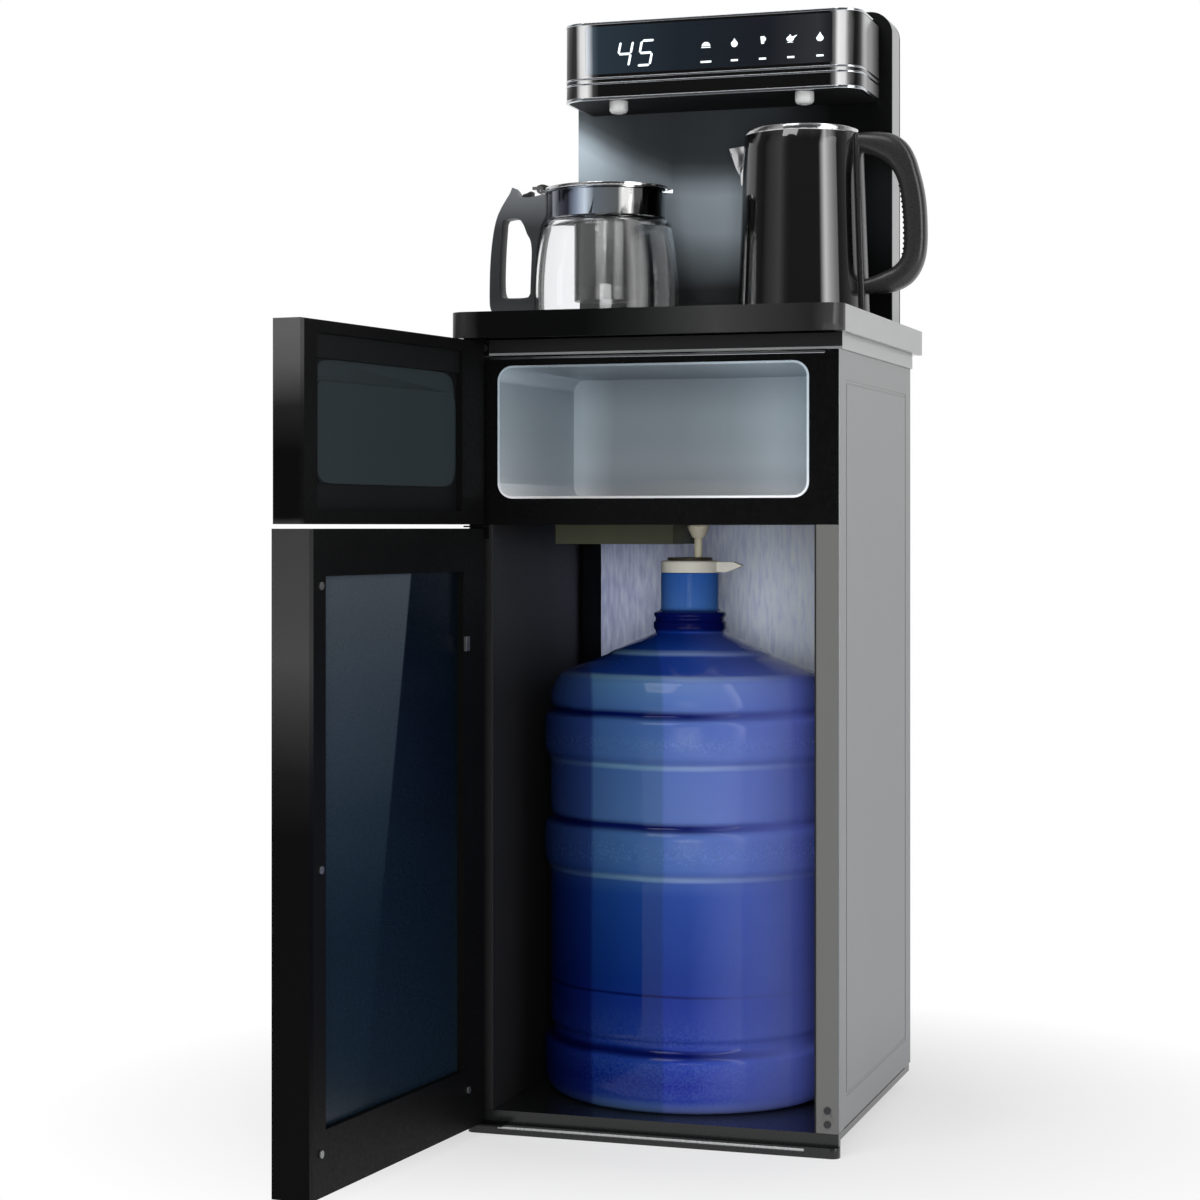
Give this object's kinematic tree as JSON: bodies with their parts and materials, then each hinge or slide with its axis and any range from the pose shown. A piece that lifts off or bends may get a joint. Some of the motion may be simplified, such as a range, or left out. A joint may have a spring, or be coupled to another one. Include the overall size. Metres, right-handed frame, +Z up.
{
  "type": "bottom load water cooler",
  "caption": "Floor standing bottom load water cooler: cabinet with two hinged doors, storage tub, water bottle, worktop, dispensing head with display, kettle and glass teapot.",
  "frame": {"origin": "on the floor under the middle of the cabinet's footprint", "axes": "+Z up, the front with the doors faces -Y, +X to the viewer's right"},
  "size_m": [0.4262, 0.6952, 1.046],
  "materials": {
    "side_grey": "satin",
    "trim_grey": "satin",
    "dark_lining": "satin",
    "post_grey": "satin",
    "base_black": "satin",
    "gloss_black": "gloss",
    "liner_pale": "satin",
    "back_blue_grey": "mottled",
    "olive_grey": "matte",
    "bright_metal": "bright",
    "steel": "brushed",
    "zinc": "zinc plated",
    "rubber_black": "matte",
    "column_grey": "satin",
    "display_glass": "gloss",
    "door_glass": "gloss",
    "board_green": "matte",
    "white_plastic": "satin",
    "beige_plastic": "satin",
    "bottle_blue": "translucent",
    "clear_tube": "translucent",
    "kettle_black": "gloss",
    "handle_black": "matte",
    "clear_glass": "clear",
    "handle_grey": "satin",
    "door_inner": "satin"
  },
  "bodies": {
    "cabinet": {"base_tray": "base_black", "foot_pads": "rubber_black", "threshold_strip": "bright_metal", "side_panel_left": "side_grey", "side_panel_right": "side_grey", "inner_walls": "dark_lining", "front_posts": "post_grey", "rear_posts": "zinc", "back_wall": "back_blue_grey", "rear_cover": "side_grey", "top_panel": "trim_grey", "storage_front_frame": "gloss_black", "storage_trim": "bright_metal", "storage_liner": "liner_pale", "divider_panel": "dark_lining", "cable_duct": "base_black", "pump_housing": "olive_grey", "pump_motor": "zinc", "hose_socket": "beige_plastic", "hinge_brackets": "zinc", "cabinet_screws": "zinc", "worktop_body": "gloss_black", "worktop_side_trims": "trim_grey", "warming_plate": "display_glass", "kettle_base": "gloss_black", "column_front": "column_grey", "column_frame": "trim_grey", "column_back": "column_grey", "head_shell": "gloss_black", "head_base_plate": "base_black", "head_trim_bands": "bright_metal", "display_glass": "display_glass", "display_board": "board_green", "nozzles": "white_plastic", "water_tubes": "clear_tube", "power_board": "board_green", "power_inlet": "rubber_black"},
    "upper_door": {"upper_door_frame": "gloss_black", "upper_door_glass": "door_glass", "upper_door_liner": "door_inner"},
    "lower_door": {"lower_door_frame": "gloss_black", "lower_door_glass": "door_glass", "lower_door_liner": "door_inner", "lower_door_screws": "zinc", "door_clip": "zinc"},
    "water_bottle": {"bottle": "bottle_blue", "bottle_cap": "white_plastic", "dip_tube": "clear_tube", "suction_hose": "beige_plastic", "hose_plug": "beige_plastic"},
    "kettle": {"kettle_body": "kettle_black", "kettle_rim": "steel", "kettle_handle": "handle_black"},
    "kettle_cover": {"kettle_lid": "steel"},
    "teapot": {"teapot_glass": "clear_glass", "teapot_collar": "steel", "teapot_handle": "handle_grey", "teapot_infuser": "steel"},
    "teapot_cover": {"teapot_lid": "steel"},
    "impeller": {"pump_rotor": "white_plastic"}
  },
  "joints": [
    {"name": "upper_door_hinge", "type": "hinge", "parent": "cabinet", "child": "upper_door", "pos_m": [-0.162, -0.18, 0.63], "axis": [0, 0, -1], "range_deg": [-96.9, 7]},
    {"name": "lower_door_hinge", "type": "hinge", "parent": "cabinet", "child": "lower_door", "pos_m": [-0.162, -0.18, 0.278], "axis": [0, 0, -1], "range_deg": [-95.5, 8.5]},
    {"name": "bottle_slide", "type": "slide", "parent": "cabinet", "child": "water_bottle", "axis": [0, -1, 0], "range_m": [0, 0.34]},
    {"name": "kettle_lift", "type": "slide", "parent": "cabinet", "child": "kettle", "axis": [0, -0.9659, 0.2588], "range_m": [0, 0.32]},
    {"name": "kettle_lid_lift", "type": "slide", "parent": "kettle", "child": "kettle_cover", "axis": [0, 0, 1], "range_m": [0, 0.02]},
    {"name": "teapot_lift", "type": "slide", "parent": "cabinet", "child": "teapot", "axis": [0, -0.9397, 0.342], "range_m": [0, 0.3]},
    {"name": "teapot_lid_hinge", "type": "hinge", "parent": "teapot", "child": "teapot_cover", "pos_m": [-0.166, 0.036, 0.8732], "axis": [0, -1, 0], "range_deg": [0, 35]},
    {"name": "impeller_spin", "type": "hinge", "parent": "cabinet", "child": "impeller", "pos_m": [-0.06, 0.105, 0.578], "axis": [1, 0, 0], "continuous": true}
  ]
}
